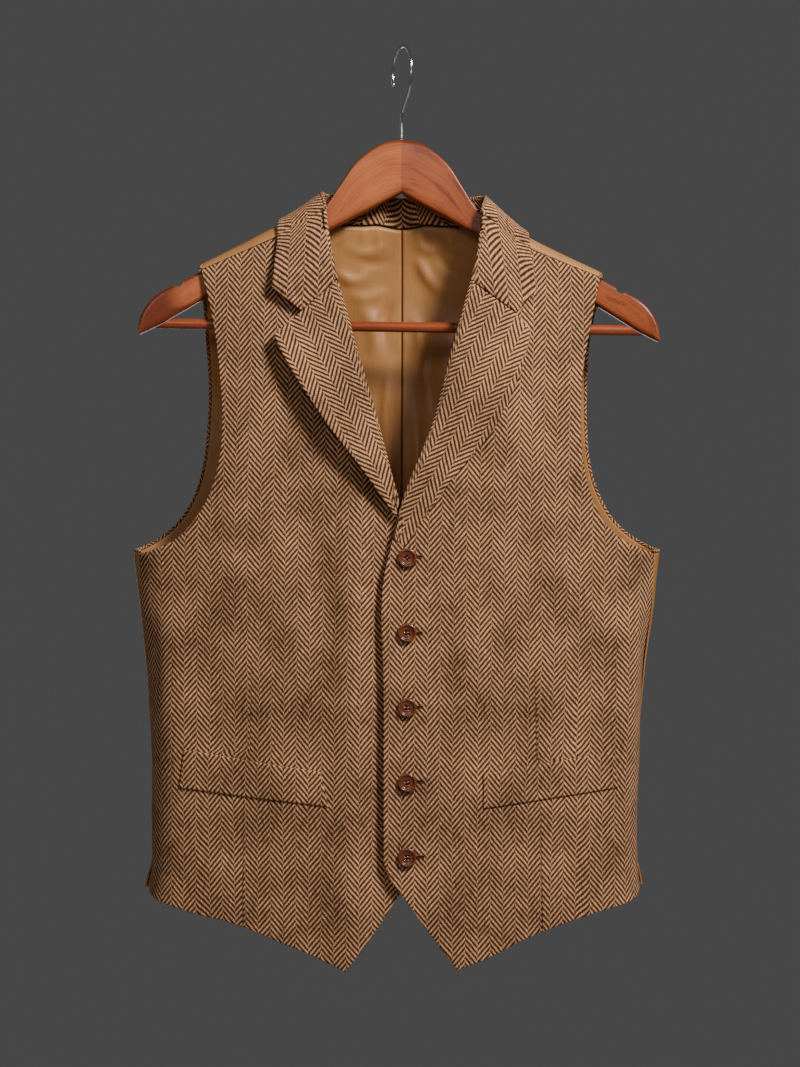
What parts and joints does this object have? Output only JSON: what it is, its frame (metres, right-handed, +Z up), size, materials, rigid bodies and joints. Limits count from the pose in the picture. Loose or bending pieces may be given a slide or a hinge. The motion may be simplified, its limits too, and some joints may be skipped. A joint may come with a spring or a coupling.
{
  "type": "suit waistcoat on a clothes hanger",
  "caption": "Lapelled herringbone waistcoat with a satin back, buttoned and hanging on a contoured wooden clothes hanger with a trouser bar and a wire hook.",
  "frame": {"origin": "where the hook bears on a rail: the inner top of the hook's loop", "axes": "+X to the right of someone facing the waistcoat's front, +Y away from them, +Z up"},
  "size_m": [0.4567, 0.0959, 0.7953],
  "materials": {
    "herringbone": "brown herringbone tweed",
    "satin": "bronze lining satin",
    "stained_wood": "red-brown stain under satin lacquer",
    "bright_steel": "polished wire",
    "brown_horn": "polished dark brown"
  },
  "bodies": {
    "root": {"front_left": "herringbone", "front_right": "herringbone", "back_left": "satin", "back_right": "satin", "lining_left": "satin", "lining_right": "satin", "collar": "herringbone", "lapel_left": "herringbone", "lapel_right": "herringbone", "welt_left": "herringbone", "welt_right": "herringbone", "binding_left": "herringbone", "binding_right": "herringbone", "button_1": "brown_horn", "button_2": "brown_horn", "button_3": "brown_horn", "button_4": "brown_horn", "button_5": "brown_horn", "hanger_arm_left": "stained_wood", "hanger_arm_right": "stained_wood", "hanger_bar": "stained_wood", "hanger_hook": "bright_steel"}
  },
  "joints": []
}
